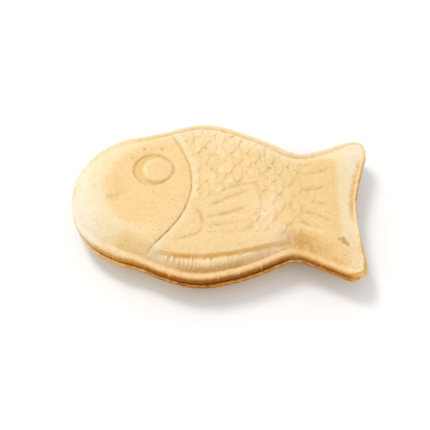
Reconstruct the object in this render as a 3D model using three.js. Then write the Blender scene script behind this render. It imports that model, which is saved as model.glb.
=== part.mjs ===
// Fish-shaped filled pastry: two moulded wafer halves, shut face to face along a level seam.
// Each half has a flat mating face, an upright rim with a rounded bead, a crease, a slope and a
// raised field that carries the fish: eye, mouth, gill line, side fin, scales, belly and tail rays.
// Millimetres, +Z up, the head towards -X, the belly towards -Y, the underside resting on z = 0.
import * as THREE from 'three';

// ---- Driving dimensions
const SEAM_Z = 12;          // level where the two halves meet
const REST_RISE = 12;       // the lower half is pressed flat this far from the seam
const CREASE_INSET = 3.0;   // crease behind the rim bead, in from the outline
const CREASE_RISE = 3.2;
const BROADER = 2.0;        // the rim along the belly is broader and taller than the back's
const TALLER = 0.4;
const BROAD_START = -20;    // it grows to full breadth between these two places
const BROAD_FULL = -33;
const FIELD_GAP = 1.4;      // from the crease to where the even field of facets starts
const SLOPE_WIDTH = 5.4;    // from the crease up to the raised field
const NOSE_SLOPE_WIDTH = 13;
const CHEEK_SLOPE_WIDTH = 7.5;
const NOSE_START = -38;     // towards the nose the crease fills in and the rim stands taller
const NOSE_END = -54;
const BODY_RISE = 10.1;     // raised field above the seam, at its edge
const BODY_CROWN = 1.3;     // extra rise at the middle of the body
const BODY_HALF_HEIGHT = 38;
const TAIL_RISE = 6.2;
const TAIL_START = 18;      // the body falls to the tail between these two places
const TAIL_END = 46;
const GROOVE_WIDTH = 1.3;
const SETTLE_REACH = 0.47;  // share of a facet that a corner may move to settle on a cut line

// The lower half is a little deeper, and sits askew under the upper one.
const LOWER_DEEPER = 0.9;
const LOWER_TURN = THREE.MathUtils.degToRad(0.9);
const LOWER_SHIFT = [0.9, -0.9];
const PAIR_OFFSET = [-0.43, 1.12];   // brings the middle of the pair's box over the origin

// Section of the rim: inset from the outline and rise from the mating face, then what the broad
// rim adds to each of the two, and the extra rise at the nose.
const CREASE_FILL = 1.9;
const RIM_PROFILE = [
  [2.4, 0, 1.2, 0, 0], [0.3, 0.35, 0, 0, 0], [0, 0.9, 0, 0, 0], [0.1, 3.0, 0.6, 0.2, 0.7],
  [0.45, 3.7, 0.75, 0.3, 0.8], [1.3, 4.0, 0.9, 0.35, 1.0], [2.1, 3.75, 1.4, 0.4, 1.4],
  [CREASE_INSET, CREASE_RISE, BROADER, TALLER, CREASE_FILL],
];

// Outline of the fish at the seam, from the nose along the belly, round the tail and back.
const OUTLINE = [
  [-74.5, -0.1], [-73.3, -10.0], [-69.2, -20.4], [-61.0, -28.8], [-49.7, -35.0], [-39.7, -38.4],
  [-29.7, -43.2], [-18.7, -46.9], [-7.7, -47.8], [4.3, -45.5], [15.8, -41.8], [26.3, -37.1],
  [34.8, -34.1], [43.5, -36.9], [59.8, -44.6], [65.0, -45.4], [68.9, -42.2], [69.5, -36.4],
  [68.1, -26.1], [67.4, -3.1], [69.6, 8.9], [72.7, 19.9], [74.9, 28.9], [72.9, 34.3],
  [66.3, 34.9], [56.3, 31.5], [47.3, 28.5], [40.8, 27.7], [34.3, 29.5], [24.3, 35.4],
  [2.3, 44.8], [-6.7, 46.6], [-16.7, 45.6], [-27.7, 42.0], [-50.6, 35.7], [-60.4, 29.6],
  [-68.1, 21.3], [-73.0, 11.4],
];

// Lines of the relief on the raised field.
const EYE = { centre: [-33.7, 11.7], radius: 10.2, sunk: 0.4, groove: 0.4 };
const PUPIL = { centre: [-32.0, 12.2], radius: 7.5, rise: 0.8 };
const GILL_LINE = [
  [-24.7, 33.7], [-20.7, 26.2], [-16.2, 15.2], [-14.7, 6.2], [-15.2, -2.8], [-18.7, -13.8],
  [-23.7, -21.8], [-29.7, -29.8], [-34.7, -36.4],
];
const MOUTH_LINE = [[-55.8, -4.4], [-53.3, -4], [-51.3, -2.8], [-50.1, -1]];
const FIN_BASE_LINE = [
  [-14.7, -11], [-11.7, -12.5], [-9.5, -16], [-8.7, -20], [-9.2, -25], [-14, -26.8],
  [-24.7, -29],
];
const FIN_EDGE_LINE = [
  [-9.7, -5.1], [-2.7, -3.1], [2.3, -0.1], [12.3, 2.9], [17, 3.2], [18.5, -1.5], [20.3, -8],
  [19.3, -13.6], [14.5, -17], [14.5, -21.5], [10.3, -24.6], [2.3, -25.9], [-5.7, -26.6],
];
const FIN_RAY_LINES = [
  [[-5.7, -10.1], [-0.7, -7.6], [4.3, -4.6], [15.3, -0.1]],
  [[-4.7, -16.1], [4.3, -14.1], [12.3, -11.6]],
  [[-4.7, -21.1], [2.5, -20.5], [9.8, -19.6]],
];
const TAIL_RAY_LINES = [
  [[38.8, 11.9], [44.9, 12.9], [50.9, 14.4], [56, 16.9]],
  [[39.8, 2.2], [47.9, 3.8], [56, 6.3]],
  [[44.9, -3.8], [49.5, -5.2], [54, -6.4]],
  [[35.8, -9.9], [45.9, -11.4], [50.9, -13.9], [55, -16.5]],
];
const BELLY_EDGE_LINE = [
  [-40, -34.6], [-33.9, -34.9], [-26.8, -35.5], [-19.6, -36.6], [-10.1, -36.9], [-0.6, -35.7],
  [7.5, -34.1], [13.7, -32.4], [19.5, -30.4], [24.3, -28.7], [29.5, -26.4], [34, -24],
];
const BELLY_STEP = 1.8;
const BELLY_STEP_WIDTH = 1.4;
const BELLY_END = 27;

// Scales overlap towards the tail: staggered columns of arcs, each higher at its free edge.
const SCALE = { pitchX: 8.25, pitchY: 11.5, radius: 7.8, rise: 0.6, cusp: [-0.5, 3.9] };
const SCALE_COLUMNS = { first: -5, last: 9 };
const SCALE_LOWEST = -25;

const smoothstep = THREE.MathUtils.smoothstep;
const lerp = THREE.MathUtils.lerp;

// A smooth curve through points, cut into short straight steps.
function curveSteps(points, closed, count) {
  const nodes = points.map(([x, y]) => new THREE.Vector3(x, y, 0));
  const curve = new THREE.CatmullRomCurve3(nodes, closed, 'centripetal');
  curve.arcLengthDivisions = 600;
  const steps = curve.getSpacedPoints(count).map((p) => [p.x, p.y]);
  return closed ? steps.slice(0, -1) : steps;
}

// The nearest place to (x, y) on a chain of steps, with the side it lies on: left is positive.
function nearestOn(steps, closed, x, y) {
  const best = { distance: Infinity, point: null, side: 1 };
  const count = closed ? steps.length : steps.length - 1;
  for (let i = 0; i < count; i += 1) {
    const [ax, ay] = steps[i];
    const [bx, by] = steps[(i + 1) % steps.length];
    const along = ((x - ax) * (bx - ax) + (y - ay) * (by - ay)) / ((bx - ax) ** 2 + (by - ay) ** 2);
    const t = THREE.MathUtils.clamp(along, 0, 1);
    const px = lerp(ax, bx, t);
    const py = lerp(ay, by, t);
    const distance = Math.hypot(x - px, y - py);
    if (distance < best.distance) {
      best.distance = distance;
      best.point = [px, py];
      best.side = Math.sign((bx - ax) * (y - ay) - (by - ay) * (x - ax)) || 1;
    }
  }
  return best;
}

function isInside(steps, x, y) {
  let inside = false;
  for (let i = 0, j = steps.length - 1; i < steps.length; j = i, i += 1) {
    const [ax, ay] = steps[i];
    const [bx, by] = steps[j];
    if ((ay > y) !== (by > y) && x < ((bx - ax) * (y - ay)) / (by - ay) + ax) {
      inside = !inside;
    }
  }
  return inside;
}

const outlineSteps = curveSteps(OUTLINE, true, 420);
const bellyEdge = curveSteps(BELLY_EDGE_LINE, false, 40);
const gill = curveSteps(GILL_LINE, false, 50);
const finEdge = curveSteps(FIN_EDGE_LINE, false, 60);
const finArea = [...finEdge, ...curveSteps(FIN_BASE_LINE, false, 20).reverse()];
const eyeRing = Array.from({ length: 48 }, (_, i) => {
  const angle = (2 * Math.PI * i) / 48;
  return [EYE.centre[0] + EYE.radius * Math.cos(angle), EYE.centre[1] + EYE.radius * Math.sin(angle)];
});

// Cut lines with their depths; the facets' corners settle on them.
const grooves = [
  { steps: gill, closed: false, depth: 0.9 },
  { steps: eyeRing, closed: true, depth: EYE.groove },
  { steps: curveSteps(MOUTH_LINE, false, 8), closed: false, depth: 0.9 },
  { steps: curveSteps(FIN_BASE_LINE, false, 30), closed: false, depth: 0.5 },
  { steps: finEdge, closed: false, depth: 0.5 },
  ...FIN_RAY_LINES.map((line) => ({ steps: curveSteps(line, false, 16), closed: false, depth: 0.5 })),
  ...TAIL_RAY_LINES.map((line) => ({ steps: curveSteps(line, false, 16), closed: false, depth: 0.5 })),
];

// The free edge of one column of scales at height y: a row of arcs that bulge towards the tail.
function scaleEdge(column, y) {
  const stagger = column % 2 === 0 ? 0 : SCALE.pitchY / 2;
  const row = (y - SCALE.cusp[1] - stagger) / SCALE.pitchY;
  const fromMiddle = (row - Math.floor(row) - 0.5) * SCALE.pitchY;
  const bulge = Math.sqrt(SCALE.radius ** 2 - fromMiddle ** 2);
  const flat = Math.sqrt(SCALE.radius ** 2 - (SCALE.pitchY / 2) ** 2);
  return SCALE.cusp[0] + (column * SCALE.pitchX) / 2 + bulge - flat;
}

function scaleRise(x, y) {
  if (y < SCALE_LOWEST || isInside(finArea, x, y)) {
    return 0;
  }
  let before = -Infinity;
  for (let column = SCALE_COLUMNS.first; column <= SCALE_COLUMNS.last; column += 1) {
    const edge = scaleEdge(column, y);
    if (x < edge && before > -Infinity) {
      return SCALE.rise * ((x - before) / (edge - before) - 0.4);
    }
    if (x < edge) {
      return 0;
    }
    before = edge;
  }
  return 0;
}

function eyeRise(x, y) {
  const fromEye = Math.hypot(x - EYE.centre[0], y - EYE.centre[1]);
  const fromPupil = Math.hypot(x - PUPIL.centre[0], y - PUPIL.centre[1]) / PUPIL.radius;
  const sunk = fromEye < EYE.radius ? EYE.sunk : 0;
  return (fromPupil < 1 ? PUPIL.rise * Math.sqrt(1 - fromPupil ** 2) : 0) - sunk;
}

// How far the nose, or the broad rim of the belly side, has taken over from the plain rim.
function noseShare(x) {
  return 1 - smoothstep(x, NOSE_END, NOSE_START);
}

function broadShare(y) {
  return 1 - smoothstep(y, BROAD_FULL, BROAD_START);
}

function creaseInset(y) {
  return CREASE_INSET + BROADER * broadShare(y);
}

// The head is everything on the nose side of the gill line, carried on to the rim at both ends.
function isHead(x, y) {
  const place = nearestOn(gill, false, x, y);
  return place.side < 0 && x < gill[0][0] + 10;
}

// Rise of the moulded face above the mating face, inwards of the crease.
function fieldRise(x, y, deeper) {
  const rim = nearestOn(outlineSteps, true, x, y);
  const inset = rim.distance - creaseInset(rim.point[1]);
  const onHead = isHead(x, y);
  const toTail = smoothstep(x, TAIL_START, TAIL_END);
  const crown = BODY_CROWN * Math.max(0, 1 - (y / BODY_HALF_HEIGHT) ** 2);
  const top = lerp(BODY_RISE + deeper + crown, TAIL_RISE, toTail);
  const crease = CREASE_RISE + TALLER * broadShare(rim.point[1]) + CREASE_FILL * noseShare(x);
  const headWidth = lerp(NOSE_SLOPE_WIDTH, CHEEK_SLOPE_WIDTH, smoothstep(x, -58, -32));
  const climb = THREE.MathUtils.clamp(inset / (onHead ? headWidth : SLOPE_WIDTH), 0, 1);
  const share = onHead ? 1 - (1 - climb) ** 2 : 0.5 * climb + 0.5 * smoothstep(climb, 0, 1);
  let rise = lerp(crease, top, share);
  const alongBelly = 1 - smoothstep(x, BELLY_END - 3, BELLY_END + 3);
  if (y < 0 && !onHead && alongBelly > 0) {
    const edge = nearestOn(bellyEdge, false, x, y);
    const across = inset / (inset + edge.distance);
    const foot = top - BELLY_STEP;
    const ledge = lerp(crease, foot, smoothstep(across, -0.1, 1.1));
    const body = lerp(foot, top, smoothstep(edge.distance, 0, BELLY_STEP_WIDTH));
    rise = lerp(rise, edge.side < 0 ? ledge : body, alongBelly);
  }
  const level = smoothstep(climb, 0.3, 0.8);
  const relief = onHead ? eyeRise(x, y) : scaleRise(x, y);
  return rise + (relief - grooveDepth(x, y)) * level;
}

function grooveDepth(x, y) {
  let total = 0;
  for (const { steps, closed, depth } of grooves) {
    total += depth * Math.exp(-((nearestOn(steps, closed, x, y).distance / GROOVE_WIDTH) ** 2));
  }
  return total;
}

// Even triangular lattice over the field. Corners near a cut line settle on it, and the outermost
// corners move out to FIELD_GAP from the crease, so the patch ends in a smooth loop.
function fieldPatch(spacingX, spacingY) {
  const reach = 80;
  const columns = Math.ceil((2 * reach) / spacingX);
  const rows = Math.ceil((2 * reach) / spacingY);
  const corners = new Map();
  for (let j = 0; j < rows; j += 1) {
    for (let i = 0; i < columns; i += 1) {
      const x = SCALE.cusp[0] + (i - Math.floor(columns / 2) + (j % 2) / 2) * spacingX;
      const y = SCALE.cusp[1] + (j - 2 * Math.floor(rows / 4)) * spacingY;
      if (isInside(outlineSteps, x, y)) {
        const near = nearestOn(outlineSteps, true, x, y);
        if (near.distance > creaseInset(near.point[1]) + FIELD_GAP) {
          corners.set(j * columns + i, { at: [x, y], near });
        }
      }
    }
  }
  let triangles = [];
  for (let j = 0; j < rows - 1; j += 1) {
    for (let i = 0; i < columns - 1; i += 1) {
      const here = j * columns + i;
      const above = here + columns;
      const pair = j % 2 === 0
        ? [[here, here + 1, above], [here + 1, above + 1, above]]
        : [[here, here + 1, above + 1], [here, above + 1, above]];
      triangles.push(...pair.filter((t) => t.every((key) => corners.has(key))));
    }
  }
  // Corners where two loops would touch are dropped, until the patch has one clean border.
  let border = borderOf(triangles);
  for (let pinched = pinchesOf(border); pinched.size > 0; pinched = pinchesOf(border)) {
    triangles = triangles.filter((t) => !t.some((key) => pinched.has(key)));
    border = borderOf(triangles);
  }
  const loop = longestLoop(border);
  const onLoop = new Set(loop);
  const used = new Set(triangles.flat());
  const isClose = (dx, dy) => Math.hypot(dx / spacingX, dy / spacingY) < SETTLE_REACH;
  for (const key of used) {
    const corner = corners.get(key);
    const [x, y] = corner.at;
    if (onLoop.has(key)) {
      const [px, py] = corner.near.point;
      const stretch = (creaseInset(py) + FIELD_GAP) / corner.near.distance;
      corner.at = [lerp(px, x, stretch), lerp(py, y, stretch)];
    } else {
      corner.at = settled(x, y, corner.near, isClose);
    }
  }
  return { corners, triangles, loop };
}

// The place that a corner of the lattice moves to: a cut line, the belly's edge or the shoulder
// where the slope meets the level field, if one of them is close.
function settled(x, y, near, isClose) {
  const found = [...grooves, { steps: bellyEdge, closed: false }]
    .map(({ steps, closed }) => nearestOn(steps, closed, x, y))
    .reduce((a, b) => (a.distance < b.distance ? a : b));
  const stretch = (creaseInset(near.point[1]) + SLOPE_WIDTH) / near.distance;
  const shoulder = [lerp(near.point[0], x, stretch), lerp(near.point[1], y, stretch)];
  const hasShoulder = !isHead(x, y) && (y > 0 || x > BELLY_END);
  const places = hasShoulder ? [found.point, shoulder] : [found.point];
  return places.find(([px, py]) => isClose(px - x, py - y)) ?? [x, y];
}

function borderOf(triangles) {
  const edges = new Set();
  for (const [a, b, c] of triangles) {
    for (const [from, to] of [[a, b], [b, c], [c, a]]) {
      if (!edges.delete(`${to},${from}`)) {
        edges.add(`${from},${to}`);
      }
    }
  }
  return [...edges].map((edge) => edge.split(',').map(Number));
}

function pinchesOf(border) {
  const seen = new Set();
  const twice = new Set();
  for (const [from] of border) {
    (seen.has(from) ? twice : seen).add(from);
  }
  return twice;
}

function longestLoop(border) {
  const next = new Map(border);
  let longest = [];
  while (next.size > 0) {
    const loop = [];
    let key = next.keys().next().value;
    while (next.has(key)) {
      loop.push(key);
      const following = next.get(key);
      next.delete(key);
      key = following;
    }
    longest = loop.length > longest.length ? loop : longest;
  }
  return longest;
}

// One half, moulded face up, with its mating face at rise 0. flatRise cuts the field level.
function waferSurface({ rimSteps, spacingX, spacingY, deeper, flatRise }) {
  const points = [];
  const faces = [];
  const add = (x, y, rise) => points.push([x, y, Math.min(rise, flatRise)]) - 1;
  const outline = curveSteps(OUTLINE, true, rimSteps);
  const inward = outline.map((_, i) => {
    const [ax, ay] = outline[(i + rimSteps - 1) % rimSteps];
    const [bx, by] = outline[(i + 1) % rimSteps];
    const length = Math.hypot(bx - ax, by - ay);
    return [(ay - by) / length, (bx - ax) / length];
  });
  const rings = RIM_PROFILE.map(([inset, rise, broader, taller, atNose]) => outline.map(([x, y], i) => {
    const reach = inset + broader * broadShare(y);
    const lift = rise + taller * broadShare(y) + atNose * noseShare(x);
    return add(x + inward[i][0] * reach, y + inward[i][1] * reach, lift);
  }));
  for (let k = 0; k < rings.length - 1; k += 1) {
    for (let i = 0; i < rimSteps; i += 1) {
      const j = (i + 1) % rimSteps;
      faces.push([rings[k][i], rings[k][j], rings[k + 1][j]]);
      faces.push([rings[k][i], rings[k + 1][j], rings[k + 1][i]]);
    }
  }
  const mating = rings[0].map((index) => new THREE.Vector2(points[index][0], points[index][1]));
  for (const [a, b, c] of THREE.ShapeUtils.triangulateShape(mating, [])) {
    faces.push([rings[0][a], rings[0][c], rings[0][b]]);
  }
  const patch = fieldPatch(spacingX, spacingY);
  const numbers = new Map();
  for (const key of new Set(patch.triangles.flat())) {
    const [x, y] = patch.corners.get(key).at;
    numbers.set(key, add(x, y, fieldRise(x, y, deeper)));
  }
  faces.push(...patch.triangles.map((t) => t.map((key) => numbers.get(key))));
  faces.push(...stripBetween(points, rings.at(-1), patch.loop.map((key) => numbers.get(key))));
  return { points, faces };
}

// Triangles between two nested loops, always taking the shorter next crossing.
function stripBetween(points, outer, inner) {
  const gap = (a, b) => Math.hypot(points[a][0] - points[b][0], points[a][1] - points[b][1]);
  let start = 0;
  inner.forEach((index, j) => {
    start = gap(outer[0], index) < gap(outer[0], inner[start]) ? j : start;
  });
  const innerAt = (j) => inner[(start + j) % inner.length];
  const outerAt = (i) => outer[i % outer.length];
  const faces = [];
  let i = 0;
  let j = 0;
  while (i < outer.length || j < inner.length) {
    const outerNext = gap(outerAt(i + 1), innerAt(j));
    const innerNext = gap(outerAt(i), innerAt(j + 1));
    if (j >= inner.length || (i < outer.length && outerNext <= innerNext)) {
      faces.push([outerAt(i), outerAt(i + 1), innerAt(j)]);
      i += 1;
    } else {
      faces.push([outerAt(i), innerAt(j + 1), innerAt(j)]);
      j += 1;
    }
  }
  return faces;
}

// The upper half stands on the seam; the lower half is the same moulding turned face down.
function waferMesh(name, surface, facing, material) {
  const flipped = surface.faces.map(([a, b, c]) => (facing > 0 ? [a, b, c] : [a, c, b]));
  const positions = surface.points.flatMap(([x, y, rise]) => [x, y, SEAM_Z + facing * rise]);
  const geometry = new THREE.BufferGeometry();
  geometry.setAttribute('position', new THREE.Float32BufferAttribute(positions, 3));
  geometry.setIndex(flipped.flat());
  geometry.computeVertexNormals();
  const mesh = new THREE.Mesh(geometry, material);
  mesh.name = name;
  return mesh;
}

function crispWafer(color) {
  return new THREE.MeshStandardMaterial({ color, roughness: 0.85, metalness: 0 });
}

const upper = waferSurface({
  rimSteps: 150,
  spacingX: SCALE.pitchX / 4,
  spacingY: SCALE.pitchY / 8,
  deeper: 0,
  flatRise: Infinity,
});
const lower = waferSurface({
  rimSteps: 110,
  spacingX: SCALE.pitchX / 3,
  spacingY: SCALE.pitchY / 6,
  deeper: LOWER_DEEPER,
  flatRise: REST_RISE,
});

const waferTop = waferMesh('wafer_top', upper, 1, crispWafer(0xf0d29a));
const waferBottom = waferMesh('wafer_bottom', lower, -1, crispWafer(0xe2b878));
waferTop.position.set(PAIR_OFFSET[0], PAIR_OFFSET[1], 0);
waferBottom.rotation.z = LOWER_TURN;
waferBottom.position.set(PAIR_OFFSET[0] + LOWER_SHIFT[0], PAIR_OFFSET[1] + LOWER_SHIFT[1], 0);

const group = new THREE.Group();
group.add(waferTop, waferBottom);

export default group;
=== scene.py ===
import math

import bpy
import numpy as np
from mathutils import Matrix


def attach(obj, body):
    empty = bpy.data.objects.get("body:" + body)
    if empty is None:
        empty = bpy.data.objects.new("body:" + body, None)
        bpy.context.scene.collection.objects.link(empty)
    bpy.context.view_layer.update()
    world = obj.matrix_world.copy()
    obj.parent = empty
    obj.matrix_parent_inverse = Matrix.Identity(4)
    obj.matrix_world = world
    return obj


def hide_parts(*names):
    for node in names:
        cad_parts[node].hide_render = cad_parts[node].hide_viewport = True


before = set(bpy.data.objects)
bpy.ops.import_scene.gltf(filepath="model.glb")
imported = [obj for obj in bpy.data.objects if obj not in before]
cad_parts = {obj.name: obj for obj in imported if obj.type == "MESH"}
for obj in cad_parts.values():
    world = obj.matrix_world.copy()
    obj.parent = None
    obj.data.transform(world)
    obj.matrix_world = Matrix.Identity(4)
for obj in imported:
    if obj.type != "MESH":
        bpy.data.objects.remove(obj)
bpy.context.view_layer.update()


# ---- Studio -----------------------------------------------------------------------------------
# A pale sheet of card on the table, white walls all round, and one broad soft lamp high behind
# the fish's back, a little towards its head. The camera looks 56 degrees down from the belly.
scene = bpy.context.scene
scene.view_settings.view_transform = "Standard"

camera = bpy.data.objects.new("camera", bpy.data.cameras.new("camera"))
camera.location = (-0.00343, -0.28168, 0.4193)
camera.rotation_euler = (math.radians(90 - 56), 0, 0)
camera.data.lens = 82.47
camera.data.sensor_width = 36
scene.collection.objects.link(camera)
scene.camera = camera

room = bpy.data.worlds.new("white_room")
room.use_nodes = True
walls = room.node_tree.nodes["Background"]
walls.inputs["Color"].default_value = (1.0, 1.0, 1.0, 1)
walls.inputs["Strength"].default_value = 0.885
scene.world = room


def soft_lamp(name, place, aim, size, watts, tint):
    """A square area lamp at one point, turned to face another."""
    lamp = bpy.data.lights.new(name, "AREA")
    lamp.size, lamp.energy, lamp.color = size, watts, tint
    thing = bpy.data.objects.new(name, lamp)
    thing.location = place
    way = np.subtract(aim, place)
    thing.rotation_euler = (
        math.atan2(math.hypot(way[0], way[1]), -way[2]), 0, math.atan2(-way[0], way[1])
    )
    scene.collection.objects.link(thing)


soft_lamp("window", (-0.85, 0.98, 1.9), (0, 0, 0), 0.7, 23.0, (1.0, 0.995, 0.98))

HALF_CARD = 6.0
corners = [(x * HALF_CARD, y * HALF_CARD, 0) for x, y in ((-1, -1), (1, -1), (1, 1), (-1, 1))]
card_mesh = bpy.data.meshes.new("card")
card_mesh.from_pydata(corners, [], [(0, 1, 2, 3)])
card = bpy.data.objects.new("card", card_mesh)
scene.collection.objects.link(card)
card_paint = bpy.data.materials.new("white_card")
card_paint.use_nodes = True
card_shader = card_paint.node_tree.nodes["Principled BSDF"]
card_shader.inputs["Base Color"].default_value = (0.86, 0.86, 0.86, 1)
card_shader.inputs["Roughness"].default_value = 0.9
card_mesh.materials.append(card_paint)


# ---- Upper wafer ------------------------------------------------------------------------------
# The shown half of the shell: a thin crisp sheet of rice wafer, baked between hot plates that
# mould the whole fish in relief. Its rim is a rounded bead over a drafted wall. The level parts
# touch the plates and toast golden, and the slopes stay pale. All lengths here are millimetres.

METRES = 0.001
# Height of the seam above the table, and where the upper half's own origin lies on it.
SEAM_Z = 12.0
PAIR_OFFSET = (-0.43, 1.12)
# The fish at the seam, from the nose along the belly, round the tail and back.
OUTLINE = [
    (-74.5, -0.1), (-73.3, -10.0), (-69.2, -20.4), (-61.0, -28.8), (-49.7, -35.0), (-39.7, -38.4),
    (-29.7, -43.2), (-18.7, -46.9), (-7.7, -47.8), (4.3, -45.5), (15.8, -41.8), (26.3, -37.1),
    (34.8, -34.1), (43.5, -36.9), (59.8, -44.6), (65.0, -45.4), (68.9, -42.2), (69.5, -36.4),
    (68.1, -26.1), (67.4, -3.1), (69.6, 8.9), (72.7, 19.9), (74.9, 28.9), (72.9, 34.3),
    (66.3, 34.9), (56.3, 31.5), (47.3, 28.5), (40.8, 27.7), (34.3, 29.5), (24.3, 35.4),
    (2.3, 44.8), (-6.7, 46.6), (-16.7, 45.6), (-27.7, 42.0), (-50.6, 35.7), (-60.4, 29.6),
    (-68.1, 21.3), (-73.0, 11.4),
]
# Section of the rim from the mating face outwards, up the wall and over the bead to the crease:
# inset from the outline, rise above the mating face, what the broad rim of the belly side adds to
# each of them, and the extra rise at the nose.
RIM_SECTION = np.array([
    (1.9, 0, 0.3, 0, 0), (1.7, 0.16, 0.3, 0, 0), (1.1, 0.2, 0.2, 0, 0), (0.35, 0.26, 0, 0, 0),
    (0.1, 0.44, 0, 0, 0), (0, 0.8, 0, 0, 0), (0.02, 2.2, 0.25, 0, 0.4), (0.08, 3.2, 0.5, 0.2, 0.7),
    (0.28, 3.74, 0.62, 0.3, 0.8), (0.65, 3.97, 0.7, 0.33, 0.9), (1.25, 4.02, 0.78, 0.36, 1.0),
    (1.7, 3.93, 0.85, 0.38, 1.25), (2.1, 3.7, 0.9, 0.4, 1.55), (2.6, 3.4, 0.95, 0.4, 1.9),
    (3.0, 3.2, 1.0, 0.4, 2.15),
])
# So many of its stations lie in the mating face and its lip. The wall fades out over its top.
SEAM_STATIONS = 5
WALL_TOP = (2.6, 4.0)
# Where the rim grows broad towards the belly, and narrow towards the tail's trailing edge.
BROAD_START, BROAD_FULL = -20, -33
TRAILING_START, TRAILING_FULL, TRAILING_NARROWER = 60, 66, 0.27
# Width of the slope from the crease up to the field, and between which x one turns into the next.
SLOPE_WIDTH, TAIL_SLOPE_WIDTH, NOSE_SLOPE_WIDTH, CHEEK_SLOPE_WIDTH = 5.4, 11.0, 13.0, 7.5
NOSE_TO_CHEEK, BODY_TO_TAIL, BODY_TO_TRAILING_EDGE = (-58, -32), (44, 56), (58, 68)
# Where the crease starts to fill towards the nose.
NOSE_START, NOSE_END = -38, -54
# Height of the field above the mating face, crowned on the body and lower on the tail.
BODY_RISE, BODY_CROWN, BODY_HALF_HEIGHT = 10.1, 1.3, 38
TAIL_RISE, TAIL_START, TAIL_END = 6.2, 14, 46
# How often slope and field are evened out, on the body and on the tail, at so many steps of grid.
EVENED_PASSES, EVENED_AT = (14, 110), 380
PATCH_PASSES = 150
# The eye's hollow and the disc in it. Each wall has a width on the right and one on the left.
EYE = dict(centre=(-34.15, 11.9), radius=10.2, sunk=0.8, wall=(0.8, 1.3))
PUPIL = dict(centre=(-31.9, 11.9), radius=8.0, rise=0.8, dome=0.3, wall=(1.0, 2.6))
# Lines of the relief.
GILL_DEPTH = 0.7
GILL = [
    (-24.7, 33.7), (-20.7, 26.2), (-16.2, 15.2), (-14.7, 6.2), (-15.2, -2.8), (-18.7, -13.8),
    (-23.7, -21.8), (-30.3, -29.7), (-34.9, -34.4),
]
MOUTH = [(-57.0, -4.0), (-55.4, -4.6), (-52.9, -4.8), (-50.7, -3.4), (-49.6, -0.4)]
BROW = [(-30.4, 26.2), (-29.6, 24.6), (-29.2, 23.0)]
FIN_BASE = [
    (-14.7, -11), (-11.7, -12.6), (-9.6, -16), (-8.9, -20), (-10.2, -24.3), (-14.5, -27),
    (-19.5, -28.6), (-25.5, -29.6),
]
FIN_EDGE = [
    (-9.7, -5.1), (-2.7, -3.1), (2.3, -0.1), (12.3, 2.9), (17, 3.2), (18.5, -1.5), (20.3, -8),
    (19.3, -13.6), (14.5, -17), (14.5, -21.5), (10.3, -24.0), (2.3, -25.0), (-6.7, -25.4),
]
FIN_RAYS = [
    [(-7.7, -11.0), (-0.7, -7.6), (4.3, -5.0), (15.3, -0.6)],
    [(-8.0, -16.8), (-1.0, -15.4), (4.3, -13.8), (13.0, -10.4)],
    [(-7.5, -21.4), (2.5, -20.5), (10.5, -19.6)],
]
TAIL_RAYS = [
    [(38.8, 11.9), (44.9, 12.9), (50.9, 14.4), (56, 16.9)],
    [(39.8, 2.2), (47.9, 3.8), (56, 6.3)],
    [(44.9, -3.8), (49.5, -5.2), (54, -6.4)],
    [(35.8, -9.9), (45.9, -11.4), (50.9, -13.9), (55, -16.5)],
    [(39.8, -16), (43.8, -18.5)],
    [(39.7, 19.1), (41.8, 18.1), (45.8, 19.6)],
]
BELLY_EDGE = [
    (-40, -34.6), (-33.9, -34.9), (-26.8, -35.5), (-19.6, -36.6), (-10.1, -36.9), (-0.6, -35.7),
    (7.5, -34.6), (13.7, -33.4), (19.5, -31.7), (24.3, -30.2), (29.5, -28.4), (34, -26),
]
BELLY_STEP, BELLY_END = 2.5, 37
RIB_PITCH, RIB_RISE = 2.1, 0.42
# Scales: half a pitch between columns, which run from the first number to the last.
SCALE = dict(pitch_x=8.25, pitch_y=11.5, radius=7.8, rise=0.62, cusp=(-0.5, 3.9), lowest=-25)
SCALE_COLUMNS = (-5, 9)
# Thin upright ribs of flash on the wall.
FLASH_WIDTH, FLASH_DEPTH = 0.36, 0.5
FLASH = [(-52.3, -33.8), (-25.2, -45.2), (-1.2, -47.3), (19.3, -40.4), (-57.0, 32.5), (-28.0, 42.0)]
# Bites out of the lip at the tail's near tip, as place, depth and width, and how far the lip
# wanders: amount, size and seed of each layer of random heights.
BITES = [((69.2, -40.0), 0.45, 1.6), ((66.0, -44.9), 0.5, 1.5), ((62.5, -45.4), 0.35, 1.2)]
LIP_WANDER = ((0.12, 7, 31), (0.07, 1.6, 32))
# Dark specks baked into the face, and how wide each is.
SPECKS = [
    ((59.6, -26.8), 1.32), ((59.3, -24.9), 0.78), ((61.2, -28.2), 0.84), ((57.4, -25.7), 0.66),
    ((-38.8, 24.8), 0.6), ((-8.2, 25.6), 0.6), ((24.6, 13.6), 0.72), ((-4.4, 11.8), 0.6),
]
# Where the crease is filled at the tail's upper tip, how far round, and how high.
FILLED_AT, FILLED_RADIUS, FILLED_RISE = (72.5, 31.0), 11.0, 0.85
# Corners of the patch: the head's lower corner, the two tail tips and the head's upper corner.
CORNERS = [(-60.0, -30.0), (69.0, -42.6), (74.4, 32.4), (-62.0, 29.0)]
# Points of the outline that the corners and sides of the patch are picked from.
DENSE = 6000


def smooth(value, low, high):
    """0 below low and 1 above high, with a smooth cubic step between them."""
    share = np.clip((value - low) / (high - low), 0, 1)
    return share * share * (3 - 2 * share)


def bump(value, width):
    """1 at value 0, falling off with the square of the value over the given width."""
    return np.exp(-((value / width) ** 2))


def lerp(a, b, share):
    """a at share 0, b at share 1, straight between."""
    return a + (b - a) * share


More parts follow.
